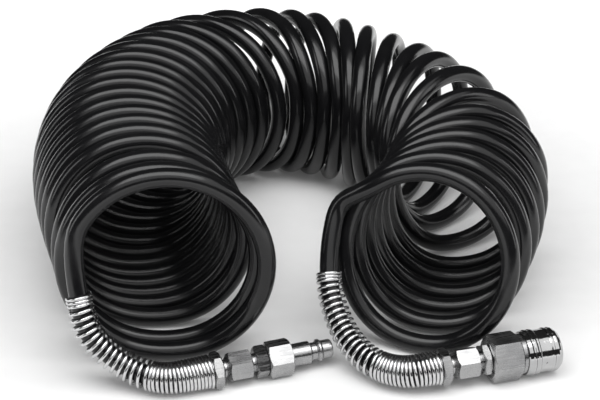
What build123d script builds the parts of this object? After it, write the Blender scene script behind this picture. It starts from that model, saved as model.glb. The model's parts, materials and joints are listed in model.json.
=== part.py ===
"""Recoil air hose: a coiled polyurethane hose bent into a horseshoe, with a spring
guard, a swivel and a quick-connect fitting at each end: a plug on the left tail and
a socket on the right one. Millimetres, +Z up, standing on Z = 0, with the origin
below the middle of the whole object."""

import os
from math import cos, pi, radians, sin, tan

from build123d import *

# ---------------------------------------------------------------- driving dimensions
COIL_RADIUS = 55.0            # outside of the hose's turns
HOSE_RADIUS = 5.0
HOSE_BORE_RADIUS = 3.25
ARC_SHARE = 0.45              # share of a run that the arc at its end may take

GUARD_WIRE = 1.8
GUARD_RADII = (6.9, 7.9, 9.0)  # outside of the spring guard: free end, middle, nut end

PLUG_HEIGHT = 9.1             # fitting axes above the floor
SOCKET_HEIGHT = 12.0
PLUG_HEADING = 19.2           # degrees, from +X towards +Y
SOCKET_HEADING = 15.8

# Stations along a fitting, from the rear face of its guard nut, shared by both ends.
NUT_SKIRT_BACK, HOSE_END, NUT_FRONT = -5.0, 1.0, 5.2
BARB_BACK, STEM_BACK, STEM_FRONT = -6.5, 8.5, 20.9
SWIVEL_FLOOR, SPINDLE_TAIL, SPINDLE_BACK = 11.6, 11.9, 22.8
SNAP_GROOVE = (13.0, 14.0)
SEAL_STATION = 17.2

# Radii shared by both ends.
NUT_SKIRT_RADIUS = 7.0
NUT_BORE_GAP = 0.1            # between the hose and the guard nut
BARB_RADIUS, BARB_ROOT_RADIUS, BARB_BORE_RADIUS = 3.45, 3.1, 2.1
JOURNAL_RADIUS, SWIVEL_BORE_RADIUS, SPINDLE_BORE_RADIUS = 4.95, 5.03, 2.4
SNAP_JOURNAL_RADIUS, SNAP_GROOVE_RADIUS = 4.35, 5.6
SNAP_RING_RADII = (4.55, 5.55)
SEAL_GROOVE_RADIUS, SEAL_MAJOR, SEAL_MINOR = 3.85, 4.42, 0.54
THREAD_RADIUS = 5.5
THREAD_LENGTH = 8.5
THREAD_GAP = 0.05             # between a male and a female thread's cylinders
RING_PLAY = 0.1               # between a retaining ring and each side of its groove

# Across flats.
GUARD_NUT_FLATS = 17.0
STEM_FLATS = 14.5
SPINDLE_FLATS = 15.0
PLUG_FLATS = 17.0
SOCKET_FLATS = 22.0

# Where each hexagon has come to rest, in degrees about its fitting's axis.
GUARD_NUT_TURN = {"plug": 49, "socket": 54}
STEM_TURN = {"plug": 20, "socket": 30}
SPINDLE_TURN = {"plug": 3, "socket": 26}
PLUG_TURN, SOCKET_TURN = 46, 55

# Plug stations and radii.
PLUG_BACK, PLUG_THREAD_FLOOR, PLUG_HEX_FRONT, PLUG_TIP = 29.4, 38.1, 42.6, 65.0
SHANK_RADIUS = 6.0
LOCK_GROOVE_RADIUS = 4.7
TIP_RADIUS = 4.95
PLUG_BORE_RADIUS = 3.6

# Socket stations and radii.
SOCKET_BACK, SOCKET_HEX_FRONT = 27.0, 43.5
COLLAR_FRONT, COLLAR_RADIUS = 45.4, 10.5
NOSE_FRONT, NOSE_RADIUS = 64.0, 8.42
MOUTH_RADIUS, MOUTH_BACK = 6.05, 59.0
BALL_RELIEF_RADIUS, BALL_RELIEF_FLOOR = 6.25, 52.6
THROAT_RADIUS, VALVE_SEAT = 5.1, 46.0
CAVITY_BACK, CAVITY_RADIUS = 36.0, 6.6
NOSE_SEAL_STATION, NOSE_SEAL_WIDTH, NOSE_SEAL_GROOVE_RADIUS = 50.0, 1.6, 6.3
NOSE_SEAL_MAJOR, NOSE_SEAL_MINOR = 5.62, 0.62
BALL_STATION, BALL_RADIUS, BALL_CENTRE, BALL_COUNT = 57.3, 1.5, 6.93, 6
BALL_HOLE_RADIUS, BALL_LIP_RADIUS, BALL_LIP_TOP = 1.56, 1.40, 6.38
SLEEVE_BACK, SLEEVE_FRONT = 45.55, 64.8
SLEEVE_CHAMBER_RADIUS, SLEEVE_LAND_RADIUS, SLEEVE_SHOULDER = 10.6, 8.5, 54.5
SLEEVE_SKIRT_RADIUS, SLEEVE_SKIRT_BACK, SLEEVE_WAIST_RADIUS = 9.6, 62.3, 11.3
SLEEVE_STROKE, RAMP_SLOPE = 1.8, 0.36
RAMP_LEAD, RAMP_OVERRUN = 0.2, 0.6  # the ramp starts behind the balls and reaches past the stroke
POCKET_FLAT, POCKET_FACE = 0.5, 0.4  # beyond the ramp: flat floor, then the face back to the land
DIMPLE_STATION, DIMPLE_RADIUS, DIMPLE_DEPTH = 55.2, 0.5, 0.4
RETAINER_GROOVE, RETAINER_GROOVE_RADIUS = (62.4, 63.2), 7.9
RETAINER_RADII = (7.95, 9.4)
SLEEVE_SPRING_RADII, SLEEVE_SPRING_ENDS = (8.8, 9.7), (45.45, 54.45)

# Valve stations and radii.
SEAT_BACK, SEAT_FRONT, SEAT_RADIUS, SEAT_BORE_RADIUS = 36.05, 37.3, 6.5, 2.3
SEAT_HOLE_CIRCLE, SEAT_HOLE_RADIUS, SEAT_HOLE_COUNT = 4.3, 1.1, 4
VALVE_SPRING_RADII, VALVE_SPRING_ENDS = (3.0, 3.9), (37.35, 43.15)
POPPET_BORE_RADIUS, POPPET_BORE_FLOOR, POPPET_FRONT = 3.5, 45.8, 50.2
POPPET_PORT_STATION, POPPET_PORT_RADIUS, POPPET_PORT_COUNT = 47.4, 1.1, 4
POPPET_SEAL_STATION, POPPET_SEAL_MAJOR, POPPET_SEAL_MINOR = 45.38, 5.28, 0.55

# ---------------------------------------------------------------- places and routes


def fitting_plane(x, y, height, heading):
    """Plane at the guard nut's rear face: local Z runs out along the fitting, local Y is up."""
    turn = radians(heading)
    return Plane(origin=(x, y, height), x_dir=(-sin(turn), cos(turn), 0), z_dir=(cos(turn), sin(turn), 0))


def along(place, station):
    """Point on a fitting's axis."""
    return place.origin + place.z_dir * station


plug_place = fitting_plane(-39.4, -150.9, PLUG_HEIGHT, PLUG_HEADING)
socket_place = fitting_plane(76.5, -151.8, SOCKET_HEIGHT, SOCKET_HEADING)

# Middle line of the coil, from the left mouth round the back to the right mouth.
coil_route = [
    Vector(x, y, COIL_RADIUS)
    for x, y in (
        (-63, -132), (-94, -33), (-96, 34), (-75, 81), (-39, 111),
        (9, 112), (51, 79), (88, 32), (99, -31), (65, -115),
    )
]
left_mouth = Plane(origin=(-58, -131, COIL_RADIUS), z_dir=(-0.139, 0.990, 0))
right_mouth = Plane(origin=(71, -107, COIL_RADIUS), z_dir=(0.426, 0.872, -0.234))
MOUTH_ALLOWANCE = 14.0        # the coil is drawn this much long at each end, then cut

# Hose from inside the coil's outer wall down to each guard nut.
PLUG_LEAD, SOCKET_LEAD = 11.5, 8.3  # last straight run into each nut
plug_route = [
    Vector(*point)
    for point in (
        (-98.5, -130, 92), (-104.5, -141, 71), (-107.5, -146, 50), (-103.5, -148.5, 34),
        (-94.5, -150, 22), (-83.5, -152, 13.5), (-72.5, -155.5, 9.8), (-61.5, -157.5, 9.1),
    )
] + [along(plug_place, -PLUG_LEAD), along(plug_place, HOSE_END)]
socket_route = [
    Vector(*point)
    for point in (
        (26.5, -88, 74), (22.5, -97, 60), (21, -106, 46), (21.7, -114.5, 34), (25.8, -124.5, 23.5),
        (32, -134.5, 16), (40, -143.4, 11.5), (49.5, -150, 10), (59.5, -153.8, 10.5),
    )
] + [along(socket_place, -SOCKET_LEAD), along(socket_place, HOSE_END)]


def bend_radii(points):
    """The largest arc that each corner of a route has room for."""
    radii = []
    for before, corner, after in zip(points, points[1:], points[2:]):
        arriving, leaving = corner - before, after - corner
        half_turn = radians(arriving.get_angle(leaving)) / 2
        radii.append(ARC_SHARE * min(arriving.length, leaving.length) / tan(half_turn))
    return radii


def stretch(points, first_run, last_run=None):
    """Points and radii of a route from the middle of one run to the middle of another, or to its end."""
    radii = bend_radii(points)
    start = (points[first_run] + points[first_run + 1]) / 2
    if last_run is None:
        return [start, *points[first_run + 1:]], radii[first_run:]
    end = (points[last_run] + points[last_run + 1]) / 2
    return [start, *points[first_run + 1:last_run + 1], end], radii[first_run:last_run]


# ---------------------------------------------------------------- shared shapes


def ring_face(place, outer, inner):
    """Annulus on a plane."""
    with BuildSketch(place) as face:
        Circle(outer)
        Circle(inner, mode=Mode.SUBTRACT)
    return face.sketch


def swept_ring(points, radii, outer, inner):
    """Tube along straight runs joined by arcs."""
    with BuildPart() as tube:
        with BuildLine() as path:
            FilletPolyline(*points, radius=radii)
        add(ring_face(Plane(path.line ^ 0), outer, inner))
        sweep()
    return tube


def profile(place, *points):
    """Closed face beside a fitting's axis from (radius, station) points."""
    with BuildSketch(Plane(origin=place.origin, x_dir=place.x_dir, z_dir=-place.y_dir)) as face:
        with BuildLine():
            Polyline(*points, close=True)
        make_face()
    return face.sketch


def turned(place, *points, mode=Mode.ADD):
    """Revolve a profile about the fitting's axis, in the part being built."""
    revolve(profile(place, *points), axis=Axis(place.origin, place.z_dir), mode=mode)


def bored(place, radius, back, front):
    """Round hole on a fitting's axis."""
    turned(place, (0, back), (radius, back), (radius, front), (0, front), mode=Mode.SUBTRACT)


def hexagon(place, flats, back, front, rotation, edge=0.55):
    """Hexagonal bar between two stations with its corners turned off at both ends."""
    with BuildSketch(place.offset(back)) as face:
        RegularPolygon(radius=flats / 2, side_count=6, major_radius=False, rotation=rotation)
    extrude(face.sketch, amount=front - back)
    reach = flats / 2 / cos(radians(30)) + 0.1
    round_off = (reach - flats / 2 + edge) * tan(radians(30))
    for face_station, inward in ((back, 1), (front, -1)):
        turned(
            place,
            (flats / 2 - edge, face_station),
            (reach, face_station),
            (reach, face_station + inward * round_off),
            mode=Mode.SUBTRACT,
        )


def ring_groove(place, radius, station, width):
    """Square groove in a bore for a seal."""
    bored(place, radius, station - width / 2, station + width / 2)


def torus_ring(place, station, major, minor):
    """O-ring round a fitting's axis."""
    with BuildPart() as ring:
        with BuildSketch(Plane(origin=place.origin, x_dir=place.x_dir, z_dir=-place.y_dir)) as face:
            with Locations((major, station)):
                Circle(minor)
        revolve(face.sketch, axis=Axis(place.origin, place.z_dir))
    return ring


def plain_ring(place, radii, ends):
    """Straight sleeve round a fitting's axis."""
    (inner, outer), (back, front) = radii, ends
    with BuildPart() as ring:
        turned(place, (inner, back), (outer, back), (outer, front), (inner, front))
    return ring


def snap_ring(place, radii, groove, gap=1.4):
    """Flat ring with a gap, standing in its groove."""
    (inner, outer), (back, front) = radii, (groove[0] + RING_PLAY, groove[1] - RING_PLAY)
    with BuildPart() as ring:
        turned(place, (inner, back), (outer, back), (outer, front), (inner, front))
        with BuildSketch(place.offset(back)) as slot:
            with Locations((0, outer)):
                Rectangle(gap, 2 * outer)
        extrude(slot.sketch, amount=front - back, mode=Mode.SUBTRACT)
    return ring


# ---------------------------------------------------------------- hose and guards


def coil():
    """One thick-walled tube with the outside and the inside of the hose's turns."""
    first, last = coil_route[0], coil_route[-1]
    lead_in = (first - coil_route[1]).normalized() * MOUTH_ALLOWANCE
    lead_out = (last - coil_route[-2]).normalized() * MOUTH_ALLOWANCE
    points = [first + lead_in, *coil_route[1:-1], last + lead_out]
    with BuildPart() as tube:
        with BuildLine() as path:
            FilletPolyline(*points, radius=bend_radii(coil_route))
        add(ring_face(Plane(path.line ^ 0), COIL_RADIUS, COIL_RADIUS - 2 * HOSE_RADIUS))
        sweep()
        for mouth in (left_mouth, right_mouth):
            with BuildSketch(mouth) as trim:
                Rectangle(2 * COIL_RADIUS + 12, 2 * COIL_RADIUS + 12)
            extrude(trim.sketch, amount=-3 * MOUTH_ALLOWANCE, mode=Mode.SUBTRACT)
    return tube


def spring_guard(points, stretches):
    """Tapered spring guard as three steps of sleeve, one wire thick."""
    steps = [
        swept_ring(*stretch(points, *runs), outer, max(outer - GUARD_WIRE, HOSE_RADIUS + 0.2)).part
        for runs, outer in zip(stretches, GUARD_RADII)
    ]
    with BuildPart() as guard:
        add(steps)
    return guard


def guard_nut(place, rotation):
    """Nut that clamps the hose on its stem, with a skirt inside the guard's wide end."""
    with BuildPart() as nut:
        hexagon(place, GUARD_NUT_FLATS, 0, NUT_FRONT, rotation)
        turned(
            place,
            (0, NUT_SKIRT_BACK), (NUT_SKIRT_RADIUS - 0.4, NUT_SKIRT_BACK),
            (NUT_SKIRT_RADIUS, NUT_SKIRT_BACK + 0.4), (NUT_SKIRT_RADIUS, 0), (0, 0),
        )
        bored(place, HOSE_RADIUS + NUT_BORE_GAP, NUT_SKIRT_BACK, HOSE_END)
        bored(place, THREAD_RADIUS + 4 * THREAD_GAP, HOSE_END, NUT_FRONT)
    return nut


def hose_stem(place, rotation):
    """Barb, thread and hexagon in one piece, with the swivel's bore in its front."""
    neck = THREAD_RADIUS + 3 * THREAD_GAP
    shoulder = HOSE_END + 0.1
    with BuildPart() as stem:
        turned(
            place,
            (0, BARB_BACK), (2.9, BARB_BACK), (BARB_RADIUS, -4.6), (BARB_ROOT_RADIUS, -4.6),
            (BARB_ROOT_RADIUS, -3.6), (BARB_RADIUS, -1.9), (BARB_ROOT_RADIUS, -1.9),
            (BARB_ROOT_RADIUS, shoulder), (neck, shoulder), (neck, NUT_FRONT + 0.2),
            (4.8, 6.3), (4.8, 7.2), (6.6, STEM_BACK), (0, STEM_BACK),
        )
        hexagon(place, STEM_FLATS, STEM_BACK, STEM_FRONT, rotation)
        bored(place, BARB_BORE_RADIUS, BARB_BACK, SWIVEL_FLOOR)
        bored(place, SWIVEL_BORE_RADIUS, SWIVEL_FLOOR, STEM_FRONT)
        bored(place, SNAP_GROOVE_RADIUS, *SNAP_GROOVE)
    return stem


def spindle(place, hex_front, rotation):
    """Swivel journal, hexagon and male thread in one piece."""
    thread_front = hex_front + THREAD_LENGTH
    ring_back, ring_front = SNAP_GROOVE[0] - 0.05, SNAP_GROOVE[1] + 0.05
    seal_back, seal_front = SEAL_STATION - 0.9, SEAL_STATION + 0.9
    with BuildPart() as part:
        turned(
            place,
            (0, SPINDLE_TAIL), (JOURNAL_RADIUS - 0.4, SPINDLE_TAIL), (JOURNAL_RADIUS, SPINDLE_TAIL + 0.4),
            (JOURNAL_RADIUS, ring_back), (SNAP_JOURNAL_RADIUS, ring_back),
            (SNAP_JOURNAL_RADIUS, ring_front), (JOURNAL_RADIUS, ring_front),
            (JOURNAL_RADIUS, seal_back), (SEAL_GROOVE_RADIUS, seal_back),
            (SEAL_GROOVE_RADIUS, seal_front), (JOURNAL_RADIUS, seal_front),
            (JOURNAL_RADIUS, SPINDLE_BACK), (0, SPINDLE_BACK),
        )
        hexagon(place, SPINDLE_FLATS, SPINDLE_BACK, hex_front, rotation)
        turned(
            place,
            (0, hex_front), (THREAD_RADIUS, hex_front), (THREAD_RADIUS, thread_front - 0.6),
            (THREAD_RADIUS - 0.6, thread_front), (0, thread_front),
        )
        bored(place, SPINDLE_BORE_RADIUS, SPINDLE_TAIL, thread_front)
    return part


# ---------------------------------------------------------------- plug end


def plug_body(place):
    """Hexagon and the standard nipple that locks into a socket."""
    with BuildPart() as body:
        hexagon(place, PLUG_FLATS, PLUG_BACK, PLUG_HEX_FRONT, PLUG_TURN)
        turned(
            place,
            (0, PLUG_HEX_FRONT), (SHANK_RADIUS, PLUG_HEX_FRONT), (SHANK_RADIUS, 52.6), (5.7, 53.0),
            (LOCK_GROOVE_RADIUS, 53.7), (LOCK_GROOVE_RADIUS, 56.3), (5.7, 57.1), (SHANK_RADIUS, 57.5),
            (SHANK_RADIUS, 58.4), (5.6, 59.0), (TIP_RADIUS, 59.5), (TIP_RADIUS, 64.3), (4.3, PLUG_TIP),
            (0, PLUG_TIP),
        )
        bored(place, THREAD_RADIUS + THREAD_GAP, PLUG_BACK, PLUG_THREAD_FLOOR)
        bored(place, PLUG_BORE_RADIUS, PLUG_THREAD_FLOOR, PLUG_TIP)
    return body


# ---------------------------------------------------------------- socket end


def radial(place, index, count):
    """Unit vector square to a fitting's axis, one of a ring that starts at the top."""
    angle = radians(90 + index * 360 / count)
    return place.x_dir * cos(angle) + place.y_dir * sin(angle)


def socket_body(place):
    """Hexagon, spring collar and the nose with its ball holes, round the valve's cavity."""
    with BuildPart() as body:
        hexagon(place, SOCKET_FLATS, SOCKET_BACK, SOCKET_HEX_FRONT, SOCKET_TURN, edge=0.9)
        turned(
            place,
            (0, SOCKET_HEX_FRONT), (COLLAR_RADIUS, SOCKET_HEX_FRONT), (COLLAR_RADIUS, COLLAR_FRONT),
            (NOSE_RADIUS, COLLAR_FRONT), (NOSE_RADIUS, NOSE_FRONT - 0.4), (NOSE_RADIUS - 0.4, NOSE_FRONT),
            (0, NOSE_FRONT),
        )
        bored(place, THREAD_RADIUS + THREAD_GAP, SOCKET_BACK, CAVITY_BACK)
        bored(place, CAVITY_RADIUS, CAVITY_BACK, VALVE_SEAT)
        bored(place, THROAT_RADIUS, VALVE_SEAT, BALL_RELIEF_FLOOR)
        ring_groove(place, NOSE_SEAL_GROOVE_RADIUS, NOSE_SEAL_STATION, NOSE_SEAL_WIDTH)
        bored(place, BALL_RELIEF_RADIUS, BALL_RELIEF_FLOOR, MOUTH_BACK)
        bored(place, MOUTH_RADIUS, MOUTH_BACK, NOSE_FRONT)
        turned(
            place,
            (RETAINER_GROOVE_RADIUS, RETAINER_GROOVE[0]), (NOSE_RADIUS + 1, RETAINER_GROOVE[0]),
            (NOSE_RADIUS + 1, RETAINER_GROOVE[1]), (RETAINER_GROOVE_RADIUS, RETAINER_GROOVE[1]),
            mode=Mode.SUBTRACT,
        )
        for index in range(BALL_COUNT):
            outward = radial(place, index, BALL_COUNT)
            for radius, low, high in (
                (BALL_LIP_RADIUS, MOUTH_RADIUS - 1, BALL_LIP_TOP),
                (BALL_HOLE_RADIUS, BALL_LIP_TOP, NOSE_RADIUS + 1),
            ):
                with BuildSketch(Plane(along(place, BALL_STATION) + outward * low, z_dir=outward)) as hole:
                    Circle(radius)
                extrude(hole.sketch, amount=high - low, mode=Mode.SUBTRACT)
    return body


def locking_ball(place, index):
    """Steel ball in its hole in the nose."""
    centre = along(place, BALL_STATION) + radial(place, index, BALL_COUNT) * BALL_CENTRE
    with BuildPart(Plane(centre)) as ball:
        Sphere(BALL_RADIUS)
    return ball


def release_sleeve(place):
    """Grip sleeve with rounded ridges, a coloured dimple's pit and the ramp that frees the balls."""
    ramp_back = BALL_STATION - RAMP_LEAD
    ramp_front = BALL_STATION + SLEEVE_STROKE + RAMP_OVERRUN
    ramp_top = SLEEVE_LAND_RADIUS + (ramp_front - ramp_back) * RAMP_SLOPE
    pocket_front = ramp_front + POCKET_FLAT
    outside = [
        (11.1, SLEEVE_BACK), (11.5, 46.0), (11.6, 47.9), (12.0, 48.4), (12.0, 49.2), (11.6, 49.8),
        (11.6, 50.6), (12.0, 51.1), (12.0, 51.9), (11.5, 52.5), (SLEEVE_WAIST_RADIUS, 55.0),
        (SLEEVE_WAIST_RADIUS, 58.4), (11.7, 59.0), (11.7, 59.9), (SLEEVE_WAIST_RADIUS, 60.4),
        (SLEEVE_WAIST_RADIUS, 61.0), (11.6, 61.5), (11.6, 62.3), (11.1, 63.3), (10.4, 64.2),
        (9.9, SLEEVE_FRONT),
    ]
    inside = [
        (SLEEVE_SKIRT_RADIUS, SLEEVE_FRONT), (SLEEVE_SKIRT_RADIUS, SLEEVE_SKIRT_BACK),
        (SLEEVE_LAND_RADIUS, SLEEVE_SKIRT_BACK), (SLEEVE_LAND_RADIUS, pocket_front + POCKET_FACE),
        (ramp_top, pocket_front), (ramp_top, ramp_front), (SLEEVE_LAND_RADIUS, ramp_back),
        (SLEEVE_LAND_RADIUS, SLEEVE_SHOULDER), (SLEEVE_CHAMBER_RADIUS, SLEEVE_SHOULDER),
        (SLEEVE_CHAMBER_RADIUS, SLEEVE_BACK),
    ]
    with BuildPart() as sleeve:
        turned(place, *outside, *inside)
        depth = place.x_dir * (SLEEVE_WAIST_RADIUS - DIMPLE_DEPTH)
        floor = Plane(along(place, DIMPLE_STATION) - depth, z_dir=-place.x_dir)
        with BuildSketch(floor) as pit:
            Circle(DIMPLE_RADIUS)
        extrude(pit.sketch, amount=2 * DIMPLE_DEPTH, mode=Mode.SUBTRACT)
    return sleeve


def valve_spring_seat(place):
    """Disc that guides the poppet's stem and lets air past."""
    with BuildPart() as seat:
        turned(
            place,
            (SEAT_BORE_RADIUS, SEAT_BACK), (SEAT_RADIUS, SEAT_BACK),
            (SEAT_RADIUS, SEAT_FRONT), (SEAT_BORE_RADIUS, SEAT_FRONT),
        )
        with BuildSketch(place.offset(SEAT_BACK)) as holes:
            with PolarLocations(SEAT_HOLE_CIRCLE, SEAT_HOLE_COUNT):
                Circle(SEAT_HOLE_RADIUS)
        extrude(holes.sketch, amount=SEAT_FRONT - SEAT_BACK, mode=Mode.SUBTRACT)
    return seat


def valve_poppet(place):
    """Shut-off poppet: guide stem, head and a hollow nose that the plug's tip pushes."""
    with BuildPart() as poppet:
        turned(
            place,
            (0, 33.8), (1.6, 33.8), (2.1, 34.3), (2.1, 42.2), (2.8, 43.2), (6.1, 43.2), (6.1, 44.75),
            (4.7, 44.75), (4.7, POPPET_FRONT - 0.4), (4.4, POPPET_FRONT), (0, POPPET_FRONT),
        )
        bored(place, POPPET_BORE_RADIUS, POPPET_BORE_FLOOR, POPPET_FRONT)
        for index in range(POPPET_PORT_COUNT):
            outward = radial(place, index, POPPET_PORT_COUNT)
            inside = along(place, POPPET_PORT_STATION) + outward * (POPPET_BORE_RADIUS - 1)
            with BuildSketch(Plane(inside, z_dir=outward)) as port:
                Circle(POPPET_PORT_RADIUS)
            extrude(port.sketch, amount=3, mode=Mode.SUBTRACT)
    return poppet


# ---------------------------------------------------------------- build and write

pieces = {
    "hose_coil": coil(),
    "plug_hose_tail": swept_ring(plug_route, bend_radii(plug_route), HOSE_RADIUS, HOSE_BORE_RADIUS),
    "socket_hose_tail": swept_ring(socket_route, bend_radii(socket_route), HOSE_RADIUS, HOSE_BORE_RADIUS),
    "plug_spring_guard": spring_guard(plug_route[:-1] + [plug_place.origin], ((2, 4), (4, 6), (6,))),
    "socket_spring_guard": spring_guard(socket_route[:-1] + [socket_place.origin], ((2, 4), (4, 6), (6,))),
}
for end, place, hex_front in (("plug", plug_place, PLUG_BACK), ("socket", socket_place, SOCKET_BACK)):
    pieces[f"{end}_guard_nut"] = guard_nut(place, GUARD_NUT_TURN[end])
    pieces[f"{end}_hose_stem"] = hose_stem(place, STEM_TURN[end])
    pieces[f"{end}_swivel_snap_ring"] = snap_ring(place, SNAP_RING_RADII, SNAP_GROOVE)
    pieces[f"{end}_spindle"] = spindle(place, hex_front, SPINDLE_TURN[end])
    pieces[f"{end}_swivel_seal"] = torus_ring(place, SEAL_STATION, SEAL_MAJOR, SEAL_MINOR)

pieces["plug_body"] = plug_body(plug_place)
pieces["socket_body"] = socket_body(socket_place)
pieces["valve_spring_seat"] = valve_spring_seat(socket_place)
pieces["valve_spring"] = plain_ring(socket_place, VALVE_SPRING_RADII, VALVE_SPRING_ENDS)
pieces["valve_poppet"] = valve_poppet(socket_place)
pieces["poppet_seal"] = torus_ring(socket_place, POPPET_SEAL_STATION, POPPET_SEAL_MAJOR, POPPET_SEAL_MINOR)
pieces["nose_seal"] = torus_ring(socket_place, NOSE_SEAL_STATION, NOSE_SEAL_MAJOR, NOSE_SEAL_MINOR)
pieces["sleeve_spring"] = plain_ring(socket_place, SLEEVE_SPRING_RADII, SLEEVE_SPRING_ENDS)
pieces["release_sleeve"] = release_sleeve(socket_place)
pieces["sleeve_retaining_ring"] = snap_ring(socket_place, RETAINER_RADII, RETAINER_GROOVE)
for index in range(BALL_COUNT):
    pieces[f"locking_ball_{index + 1}"] = locking_ball(socket_place, index)

os.makedirs("parts", exist_ok=True)
for name, piece in pieces.items():
    piece.part.label = name
    export_step(piece.part, f"parts/{name}.step")

HOSE_SECTION = pi * (HOSE_RADIUS**2 - HOSE_BORE_RADIUS**2)
print("hose radius", HOSE_RADIUS, "bore", HOSE_BORE_RADIUS, "guard wire", GUARD_WIRE)
print("coil bend radii:", [round(radius, 1) for radius in bend_radii(coil_route)])
for name, route in (("plug_hose_tail", plug_route), ("socket_hose_tail", socket_route)):
    with BuildLine() as middle:
        FilletPolyline(*route, radius=bend_radii(route))
    length = sum(edge.length for edge in middle.line.edges())
    share = pieces[name].part.volume / (HOSE_SECTION * length)
    print(name, "bend radii:", [round(radius, 1) for radius in bend_radii(route)])
    print(name, "length", round(length, 1), "volume / (section x length)", round(share, 4))
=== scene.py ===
import json
import math

import bpy
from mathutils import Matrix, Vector


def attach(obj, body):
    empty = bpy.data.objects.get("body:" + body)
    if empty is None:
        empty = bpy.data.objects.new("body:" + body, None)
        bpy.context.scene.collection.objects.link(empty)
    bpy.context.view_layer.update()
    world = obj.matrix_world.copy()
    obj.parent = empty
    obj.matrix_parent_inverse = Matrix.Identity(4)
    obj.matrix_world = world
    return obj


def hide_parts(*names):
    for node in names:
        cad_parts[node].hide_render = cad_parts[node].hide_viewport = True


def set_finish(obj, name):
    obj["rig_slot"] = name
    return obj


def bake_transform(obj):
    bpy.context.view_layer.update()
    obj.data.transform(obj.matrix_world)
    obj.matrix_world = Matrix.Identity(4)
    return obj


# Recoil air hose: one hose wound in a horseshoe of loose turns, a spring guard on each
# tail, and the CAD fittings. Metres. Points of the hose are written in millimetres.

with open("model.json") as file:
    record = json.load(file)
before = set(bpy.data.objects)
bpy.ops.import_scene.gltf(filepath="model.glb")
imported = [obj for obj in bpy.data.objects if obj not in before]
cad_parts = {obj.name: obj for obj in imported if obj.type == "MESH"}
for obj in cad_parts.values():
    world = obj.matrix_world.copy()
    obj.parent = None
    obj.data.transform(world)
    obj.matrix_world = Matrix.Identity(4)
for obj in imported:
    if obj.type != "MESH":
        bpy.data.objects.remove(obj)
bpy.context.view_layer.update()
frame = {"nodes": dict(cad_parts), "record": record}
record = frame["record"]
nodes = frame["nodes"]

MM = 0.001

# ---------------------------------------------------------------- driving values

HOSE_DIAMETER = 0.010
TURN_RADIUS = 50.0            # from the turn's middle to the hose's middle line, millimetres
HOSE_CENTRE_HEIGHT = 5.0      # of the lowest part of a turn, millimetres
POINTS_PER_TURN = 16
FIRST_TURN, LAST_TURN = 0.8125, 35.125   # a turn is at its top at each whole number
HOSE_STEPS = 5                # pieces of line that each span of the hose is drawn with
HOSE_SIDES = 8
WIRE_DIAMETER = 0.0018
WIRE_STEPS = 3
WIRE_SIDES = 4

# Middle line of the coil on the floor, from the left mouth round the back to the right one.
COIL_AXIS = [
    (-60, -134), (-91, -49), (-98, 27), (-74, 80), (-32, 112),
    (10, 110), (52, 83), (95, 29), (106, -43), (67, -116),
]
COIL_AXIS_STEPS = 12
AXIS_START = 3.8              # where turn 1 stands along the axis, millimetres
# Each list gives (turn, value) where the winding changes; between them it runs evenly.
# Millimetres along the axis from one turn to the next.
PITCH = [
    (1, 14), (2, 9), (3, 28), (4, 12.5), (6, 11), (8, 12), (10, 14), (14, 14.5), (16, 13.5),
    (17, 15), (18, 23), (20, 22), (21, 14), (22, 17), (23, 22), (24, 14.5), (25, 29), (26, 14),
    (27, 20), (28, 30), (29, 31), (30, 11.5), (31, 18.5), (32, 12), (33, 17), (35, 20),
]
# How far a turn's top stands ahead of its middle, in radii of the turn.
LEAN = [(1, 0.06), (10, 0.11), (22, 0.06), (27, -0.13), (31, -0.17), (35, -0.36)]
# How far a turn is swung to the left of the axis's direction.
YAW_DEGREES = [(1, -16), (10, -8), (18, 21), (22, 38), (27, 25), (33, 23), (35, 9)]
# The turn's radius, in TURN_RADIUS.
SIZE = [
    (1, 1.03), (3, 0.995), (10, 1.035), (17, 1.04), (20, 1.005), (24, 0.985), (28, 0.975),
    (33, 0.917), (35, 0.915),
]

# Where each fitting's axis starts, at its guard nut, and the way it points.
PLUG_ORIGIN, PLUG_HEADING = (-39.4, -150.9, 9.1), 19.2
SOCKET_ORIGIN, SOCKET_HEADING = (76.5, -151.8, 12.0), 15.8
HOSE_END = 1.0                # the hose stops this far inside each guard nut, millimetres
PLUG_LEAD, SOCKET_LEAD = -11.5, -8.3     # last point of each tail before the nut, on its axis

# Free ends of the hose, from the coil down to the nut.
PLUG_TAIL = [
    (-103.5, -148.5, 34), (-94.5, -150, 22), (-83.5, -152, 13.5), (-72.5, -155.5, 9.8),
    (-61.5, -157.5, 9.1),
]
SOCKET_TAIL = [
    (26.5, -88, 74), (22.5, -97, 60), (21, -106, 46), (21.7, -114.5, 34), (25.8, -124.5, 23.5),
    (32, -134.5, 16), (40, -143.4, 11.5), (49.5, -150, 10), (59.5, -153.8, 10.5),
]


def heading_vector(degrees):
    """Unit vector on the floor, counted from +X towards +Y."""
    return Vector((math.cos(math.radians(degrees)), math.sin(math.radians(degrees)), 0))


PLUG_DIRECTION = heading_vector(PLUG_HEADING)
SOCKET_DIRECTION = heading_vector(SOCKET_HEADING)


def station(origin, direction, distance):
    """Point on a fitting's axis, in metres."""
    return (Vector(origin) + direction * distance) * MM


# ---------------------------------------------------------------- camera

CAMERA_LENS = 78.2            # millimetres
CAMERA_PLACE = (0.0059, -0.7027, 0.3938)
CAMERA_TILT_DEGREES = 62.6    # up from looking straight down

camera_data = bpy.data.cameras.new("camera")
camera_data.lens = CAMERA_LENS
camera = bpy.data.objects.new("camera", camera_data)
camera.location = CAMERA_PLACE
camera.rotation_euler = (math.radians(CAMERA_TILT_DEGREES), 0, 0)
bpy.context.scene.collection.objects.link(camera)
bpy.context.scene.camera = camera


# ---------------------------------------------------------------- curves


def link(piece):
    """Put a new object in the scene."""
    bpy.context.scene.collection.objects.link(piece)
    return piece


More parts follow.
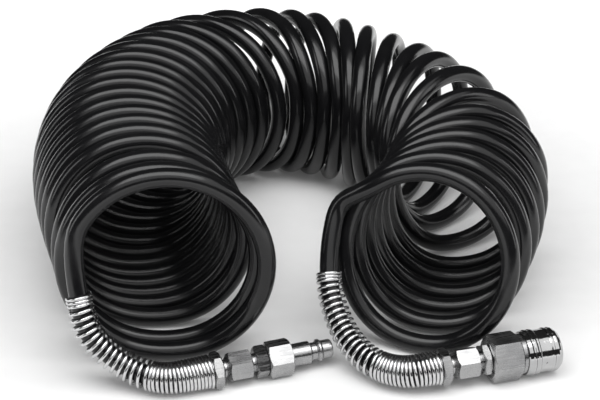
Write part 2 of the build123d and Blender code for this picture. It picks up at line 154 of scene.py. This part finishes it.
def nurbs_curve(name, points, steps, thickness=0.0, sides=0):
    """Curve of one smooth open spline; thickness is its diameter, and 0 leaves a bare line."""
    data = bpy.data.curves.new(name, "CURVE")
    data.dimensions = "3D"
    data.resolution_u = steps
    data.bevel_depth = 1.0 if thickness > 0 else 0.0   # times each point's radius
    data.bevel_resolution = sides
    data.use_fill_caps = thickness > 0
    spline = data.splines.new("NURBS")
    spline.points.add(len(points) - 1)
    for target, point in zip(spline.points, points):
        target.co = (*point, 1.0)
        target.radius = thickness / 2
    spline.order_u = 3                                 # quadratic
    spline.use_endpoint_u = True
    return link(bpy.data.objects.new(name, data))


def mesh_of(curve):
    """New mesh of a curve as it is drawn; the curve itself is removed."""
    bpy.context.view_layer.update()
    drawn = curve.evaluated_get(bpy.context.evaluated_depsgraph_get())
    mesh = bpy.data.meshes.new_from_object(drawn)
    bpy.data.objects.remove(curve)
    return mesh


def read_line(points, steps):
    """The smooth line that a NURBS spline with these control points makes."""
    mesh = mesh_of(nurbs_curve("probe", points, steps))
    line = [vertex.co.copy() for vertex in mesh.vertices]
    bpy.data.meshes.remove(mesh)
    return line


def lengths_along(line):
    """Distance of each point of a line from its first point."""
    total = [0.0]
    for before, after in zip(line, line[1:]):
        total.append(total[-1] + (after - before).length)
    return total


def at_length(line, lengths, distance):
    """Place and direction on a line at a distance from its first point."""
    low, high = 0, len(line) - 1
    while high - low > 1:
        middle = (low + high) // 2
        if lengths[middle] <= distance:
            low = middle
        else:
            high = middle
    step = line[high] - line[low]
    share = (distance - lengths[low]) / step.length
    return line[low] + step * share, step.normalized()


def between(table, turn):
    """Value of a (turn, value) list at a turn."""
    if turn <= table[0][0]:
        return table[0][1]
    for (first, start), (second, end) in zip(table, table[1:]):
        if turn <= second:
            return start + (end - start) * (turn - first) / (second - first)
    return table[-1][1]


# ---------------------------------------------------------------- hose


def polygon_reach(corners):
    """How far outside its circle the control polygon of a quadratic spline stands."""
    return 1 / math.cos(math.pi / corners)


def coil_points():
    """Control points of the turns, a right-handed helix along the coil's axis."""
    axis = read_line([(x * MM, y * MM, 0) for x, y in COIL_AXIS], COIL_AXIS_STEPS)
    lengths = lengths_along(axis)
    outside = polygon_reach(POINTS_PER_TURN)
    steps = round((LAST_TURN - FIRST_TURN) * POINTS_PER_TURN)
    distance = AXIS_START - (1 - FIRST_TURN) * PITCH[0][1]
    points = []
    for step in range(steps + 1):
        turn = FIRST_TURN + step / POINTS_PER_TURN
        middle, forward = at_length(axis, lengths, distance * MM)
        yaw = math.radians(between(YAW_DEGREES, turn))
        forward = Vector((
            forward.x * math.cos(yaw) - forward.y * math.sin(yaw),
            forward.x * math.sin(yaw) + forward.y * math.cos(yaw),
            0,
        ))
        left = Vector((-forward.y, forward.x, 0))
        angle = 2 * math.pi * (turn - 0.5)
        radius = TURN_RADIUS * between(SIZE, turn) * MM
        reach = radius * outside
        height = HOSE_CENTRE_HEIGHT * MM + radius - reach * math.cos(angle)
        point = middle + left * reach * math.sin(angle)
        point -= forward * reach * math.cos(angle) * between(LEAN, turn)
        points.append(Vector((point.x, point.y, max(height, HOSE_CENTRE_HEIGHT * MM))))
        distance += between(PITCH, turn + 0.5 / POINTS_PER_TURN) / POINTS_PER_TURN
    return points


def tail_points(points):
    """Listed points of a free end, in metres."""
    return [Vector(point) * MM for point in points]


plug_exit = station(PLUG_ORIGIN, PLUG_DIRECTION, HOSE_END)
socket_exit = station(SOCKET_ORIGIN, SOCKET_DIRECTION, HOSE_END)
plug_lead = station(PLUG_ORIGIN, PLUG_DIRECTION, PLUG_LEAD)
socket_lead = station(SOCKET_ORIGIN, SOCKET_DIRECTION, SOCKET_LEAD)
plug_tail = tail_points(PLUG_TAIL) + [plug_lead, plug_exit]
socket_tail = tail_points(SOCKET_TAIL) + [socket_lead, socket_exit]
coil = coil_points()
hose_points = plug_tail[::-1] + coil + socket_tail

hose = nurbs_curve("hose", hose_points, HOSE_STEPS, HOSE_DIAMETER, HOSE_SIDES)
hose_length = lengths_along(read_line(hose_points, HOSE_STEPS))[-1]
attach(hose, "hose")
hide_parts("hose_coil", "plug_hose_tail", "socket_hose_tail")
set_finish(hose, "hose")

# ---------------------------------------------------------------- spring guards

CLOSE_TURNS, OPEN_TURNS, END_TURNS = 17, 15, 2.5
CLOSE_PITCH = WIRE_DIAMETER * 1.01
OPEN_PITCH = 0.00365
NUT_RADIUS, FREE_RADIUS = 0.0081, 0.0060   # of the guard's turns, to the middle of the wire
WIRE_POINTS_PER_TURN = 14
GUARD_LINE_STEPS = 24
LINE_END_MARGIN = 1e-6        # keeps the wire's last point on the line that it winds about


def guard_pitch(turn):
    """Advance per turn, counted from the nut."""
    if turn < CLOSE_TURNS or turn > CLOSE_TURNS + OPEN_TURNS:
        return CLOSE_PITCH
    return OPEN_PITCH


def wire_helix(name, line, turns, pitch_of, radius_of, start, wire):
    """Round wire wound about a line, as a curve with cut ends."""
    lengths = lengths_along(line)
    outside = polygon_reach(WIRE_POINTS_PER_TURN)
    points = []
    side = None
    distance = start
    for step in range(int(turns * WIRE_POINTS_PER_TURN) + 1):
        turn = step / WIRE_POINTS_PER_TURN
        middle, forward = at_length(line, lengths, min(distance, lengths[-1] - LINE_END_MARGIN))
        if side is None:
            side = forward.orthogonal().normalized()
        side = (side - forward * side.dot(forward)).normalized()
        across = forward.cross(side)
        angle = 2 * math.pi * turn
        reach = radius_of(turn / turns) * outside
        points.append(middle + (side * math.cos(angle) + across * math.sin(angle)) * reach)
        distance += pitch_of(turn) / WIRE_POINTS_PER_TURN
    return nurbs_curve(name, points, WIRE_STEPS, wire, WIRE_SIDES)


def spring_guard(name, line, node):
    """Guard that is close wound at the nut and at its free end, and open between."""
    turns = CLOSE_TURNS + OPEN_TURNS + END_TURNS

    def radius_of(share):
        return NUT_RADIUS + (FREE_RADIUS - NUT_RADIUS) * share

    start = HOSE_END * MM + WIRE_DIAMETER / 2
    guard = wire_helix(name, line, turns, guard_pitch, radius_of, start, WIRE_DIAMETER)
    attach(guard, "hose")
    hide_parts(node)
    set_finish(guard, "spring_wire")
    return guard


# Each guard's line starts at its nut and runs a little way into the turns.
plug_line = read_line(plug_tail[::-1] + coil[:8], GUARD_LINE_STEPS)
socket_line = read_line(socket_tail[::-1] + coil[-1:-3:-1], GUARD_LINE_STEPS)
guards = [
    spring_guard("plug_guard_wire", plug_line, "plug_spring_guard"),
    spring_guard("socket_guard_wire", socket_line, "socket_spring_guard"),
]

# ---------------------------------------------------------------- springs inside the socket


def coil_spring(name, node, turns, radius, wire, back, front):
    """Compression spring on the socket's axis, from its back station to its front one.

    Radius, wire and the stations of its back and front are in millimetres.
    """
    start = station(SOCKET_ORIGIN, SOCKET_DIRECTION, back + wire / 2)
    end = station(SOCKET_ORIGIN, SOCKET_DIRECTION, front - wire / 2)
    pitch = (end - start).length / turns

    def pitch_of(turn):
        return pitch

    def radius_of(share):
        return radius * MM

    curve = wire_helix(name + "_curve", [start, end], turns, pitch_of, radius_of, 0, wire * MM)
    spring = link(bpy.data.objects.new(name, mesh_of(curve)))
    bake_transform(spring)
    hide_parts(node)
    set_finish(spring, "spring_wire")
    return spring


inner_springs = [
    coil_spring("valve_spring_wire", "valve_spring",
                turns=4.5, radius=3.45, wire=0.8, back=37.35, front=43.15),
    coil_spring("sleeve_spring_wire", "sleeve_spring",
                turns=5, radius=9.25, wire=0.8, back=45.45, front=54.45),
]

# ---------------------------------------------------------------- materials

FITTINGS_HEADING = math.radians((PLUG_HEADING + SOCKET_HEADING) / 2)
# How far a pattern's marks are drawn out along x, y and z, once x lies along the fittings.
EVEN_GRAIN = (1, 1, 1)
ALONG_THE_BAR = (16, 1, 1)
ROUND_THE_AXIS = (0.06, 1, 1)


def new_material(name, colour, roughness, metallic=0.0, specular=0.5):
    """Material, shader and texture coordinates; patterns may take over the plain values."""
    material = bpy.data.materials.new(name)
    material.use_nodes = True
    shader = material.node_tree.nodes["Principled BSDF"]
    shader.inputs["Base Color"].default_value = (*colour, 1)
    shader.inputs["Roughness"].default_value = roughness
    shader.inputs["Metallic"].default_value = metallic
    shader.inputs["Specular IOR Level"].default_value = specular
    coordinates = material.node_tree.nodes.new("ShaderNodeTexCoord")
    return material, shader, coordinates.outputs["Object"]


def add_noise(material, vector, scale, detail=4.0, grain=EVEN_GRAIN, heading=0.0, distortion=0.0):
    """Noise pattern; grain draws it out along axes that are turned by the heading."""
    tree = material.node_tree
    mapping = tree.nodes.new("ShaderNodeMapping")
    mapping.vector_type = "TEXTURE"
    mapping.inputs["Rotation"].default_value = (0, 0, heading)
    mapping.inputs["Scale"].default_value = grain
    tree.links.new(vector, mapping.inputs["Vector"])
    noise = tree.nodes.new("ShaderNodeTexNoise")
    noise.inputs["Scale"].default_value = scale
    noise.inputs["Detail"].default_value = detail
    noise.inputs["Distortion"].default_value = distortion
    tree.links.new(mapping.outputs["Vector"], noise.inputs["Vector"])
    return noise.outputs["Fac"]


def spread(material, value, low, high, start=0.3, end=0.7):
    """Pattern value spread between two numbers."""
    tree = material.node_tree
    remap = tree.nodes.new("ShaderNodeMapRange")
    remap.inputs["From Min"].default_value = start
    remap.inputs["From Max"].default_value = end
    remap.inputs["To Min"].default_value = low
    remap.inputs["To Max"].default_value = high
    tree.links.new(value, remap.inputs["Value"])
    return remap.outputs["Result"]


def blend_colours(material, value, first, second):
    """Colour between two by a pattern value."""
    tree = material.node_tree
    mix = tree.nodes.new("ShaderNodeMix")
    mix.data_type = "RGBA"
    mix.inputs["A"].default_value = (*first, 1)
    mix.inputs["B"].default_value = (*second, 1)
    tree.links.new(value, mix.inputs["Factor"])
    return mix.outputs["Result"]


def add_bump(material, shader, height, strength, distance):
    """Surface relief from a pattern."""
    tree = material.node_tree
    bump = tree.nodes.new("ShaderNodeBump")
    bump.inputs["Strength"].default_value = strength
    bump.inputs["Distance"].default_value = distance
    tree.links.new(height, bump.inputs["Height"])
    tree.links.new(bump.outputs["Normal"], shader.inputs["Normal"])


def connect(material, output, shader, name):
    """Feed a pattern into the shader."""
    material.node_tree.links.new(output, shader.inputs[name])


def colour_by(material, shader, pattern, first, second):
    """Let a pattern blend the surface's colour between two."""
    share = spread(material, pattern, 0, 1)
    connect(material, blend_colours(material, share, first, second), shader, "Base Color")


def hose_material():
    """Glossy black polyurethane with faint rub marks and a slightly uneven skin."""
    dark, pale = (0.004, 0.004, 0.0045), (0.007, 0.007, 0.0075)
    material, shader, place = new_material(
        "hose_polyurethane", (0.005, 0.005, 0.0055), 0.17, specular=0.36)
    broad = add_noise(material, place, scale=30)
    fine = add_noise(material, place, scale=700, detail=3)
    scuffs = add_noise(material, place, scale=120, detail=9, distortion=0.6)
    colour_by(material, shader, broad, dark, pale)
    connect(material, spread(material, scuffs, 0.15, 0.22), shader, "Roughness")
    add_bump(material, shader, fine, strength=0.03, distance=0.00003)
    return material


def wire_material():
    """Bright drawn wire with fine streaks."""
    dark, pale = (0.50, 0.50, 0.51), (0.68, 0.68, 0.68)
    material, shader, place = new_material(
        "drawn_spring_wire", (0.78, 0.78, 0.79), 0.18, metallic=1.0)
    streaks = add_noise(material, place, scale=700, detail=6, grain=(1, 1, 2.5))
    colour_by(material, shader, streaks, dark, pale)
    connect(material, spread(material, streaks, 0.12, 0.27), shader, "Roughness")
    return material


def metal_material(name, colours, roughness, grain, frequency, scratch=0.4):
    """Plated machined metal: fine tool marks, sparse scratches and handling stains."""
    material, shader, place = new_material(name, colours[0], sum(roughness) / 2, metallic=1.0)
    marks = add_noise(
        material, place, scale=frequency, detail=5, grain=grain, heading=FITTINGS_HEADING)
    scratches = add_noise(
        material, place, scale=260, detail=10, grain=(1, 0.15, 1.7), distortion=0.8)
    stains = add_noise(material, place, scale=70, detail=6)
    tree = material.node_tree
    mixed = tree.nodes.new("ShaderNodeMath")
    mixed.operation = "MULTIPLY_ADD"
    mixed.inputs[1].default_value = scratch
    tree.links.new(scratches, mixed.inputs[0])
    tree.links.new(marks, mixed.inputs[2])
    relief = mixed.outputs["Value"]
    colour_by(material, shader, stains, *colours)
    connect(material, spread(material, relief, *roughness, start=0.45, end=0.95), shader,
            "Roughness")
    add_bump(material, shader, relief, strength=0.25, distance=0.00006)
    return material


def rubber_material():
    """Matt black seal rubber."""
    material, shader, place = new_material("nitrile_rubber", (0.02, 0.02, 0.02), 0.6)
    grain = add_noise(material, place, scale=1500)
    connect(material, spread(material, grain, 0.5, 0.75), shader, "Roughness")
    add_bump(material, shader, grain, strength=0.2, distance=0.0001)
    return material


PAINTED_GLOW_REACH = 0.18, 0.6        # metres from the floor's middle where its painted glow starts and is full
PAINTED_GLOW_STRENGTH = 0.05, 0.9     # strength of the painted glow inside and outside that band


def floor_material():
    """White backdrop with a painted glow that is faint near the object and full far from it, so
    the floor near the object looks shaded.
    """
    dark, pale = (0.73, 0.73, 0.73), (0.75, 0.75, 0.75)
    material, shader, place = new_material("backdrop", (0.74, 0.74, 0.74), 0.9, specular=0.1)
    grain = add_noise(material, place, scale=60, detail=3)
    colour_by(material, shader, grain, dark, pale)
    # painted glow: the floor gives off light of its own, weak near the object and strong away
    # from it
    shader.inputs["Emission Color"].default_value = (1, 1, 1, 1)
    distance = material.node_tree.nodes.new("ShaderNodeVectorMath")
    distance.operation = "LENGTH"
    material.node_tree.links.new(place, distance.inputs[0])
    painted_glow = spread(material, distance.outputs["Value"], *PAINTED_GLOW_STRENGTH, *PAINTED_GLOW_REACH)
    connect(material, painted_glow, shader, "Emission Strength")
    return material


def paint(piece, material):
    """Give a piece one material."""
    piece.data.materials.clear()
    piece.data.materials.append(material)


SLOT_MATERIALS = {
    "hose": hose_material(),
    "spring_wire": wire_material(),
    "nickel_hex": metal_material(
        "nickel_plate", colours=[(0.30, 0.30, 0.305), (0.42, 0.42, 0.42)],
        roughness=(0.16, 0.4), grain=ALONG_THE_BAR, frequency=1200),
    "polished_sleeve": metal_material(
        "polished_nickel", colours=[(0.40, 0.40, 0.405), (0.48, 0.48, 0.48)],
        roughness=(0.07, 0.2), grain=ROUND_THE_AXIS, frequency=60, scratch=0.1),
    "steel": metal_material(
        "ground_steel", colours=[(0.5, 0.5, 0.52), (0.65, 0.65, 0.66)],
        roughness=(0.2, 0.4), grain=EVEN_GRAIN, frequency=900),
    "brass": metal_material(
        "machined_brass", colours=[(0.66, 0.49, 0.22), (0.78, 0.60, 0.30)],
        roughness=(0.2, 0.35), grain=ROUND_THE_AXIS, frequency=60),
    "seal_rubber": rubber_material(),
}

for subpart in record["subparts"]:
    paint(nodes[subpart["node"]], SLOT_MATERIALS[subpart["material_slot"]])
for piece in [hose, *guards, *inner_springs]:
    paint(piece, SLOT_MATERIALS[piece["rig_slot"]])

# ---------------------------------------------------------------- floor and light

FLOOR_REACH = 4.0
WORLD_STRENGTH = 0.03

corners = [(x * FLOOR_REACH, y * FLOOR_REACH, 0) for x, y in ((-1, -1), (1, -1), (1, 1), (-1, 1))]
floor_data = bpy.data.meshes.new("floor")
floor_data.from_pydata(corners, [], [(0, 1, 2, 3)])
floor = link(bpy.data.objects.new("floor", floor_data))
paint(floor, floor_material())


def softbox(name, place, target, size, power):
    """Large even area light aimed at a point; power is in watts."""
    data = bpy.data.lights.new(name, "AREA")
    data.shape = "RECTANGLE"
    data.size, data.size_y = size
    data.energy = power
    light = link(bpy.data.objects.new(name, data))
    light.location = place
    light.rotation_euler = (Vector(target) - Vector(place)).to_track_quat("-Z", "Y").to_euler()


softbox("overhead", (-0.05, -0.45, 1.25), (0, 0, 0), size=(1.5, 0.8), power=14)
softbox("wash", (0.20, -0.70, 1.32), (0, 0, 0), size=(2.6, 2.0), power=22)
softbox("left_strip", (-1.3, -0.3, 0.55), (0, 0, 0.05), size=(0.35, 0.9), power=3)
softbox("right_strip", (1.3, -0.3, 0.55), (0, 0, 0.05), size=(0.35, 0.9), power=3)

world = bpy.data.worlds.new("studio")
world.use_nodes = True
background = world.node_tree.nodes["Background"]
background.inputs["Color"].default_value = (1, 1, 1, 1)
background.inputs["Strength"].default_value = WORLD_STRENGTH
bpy.context.scene.world = world
bpy.context.scene.view_settings.view_transform = "Standard"
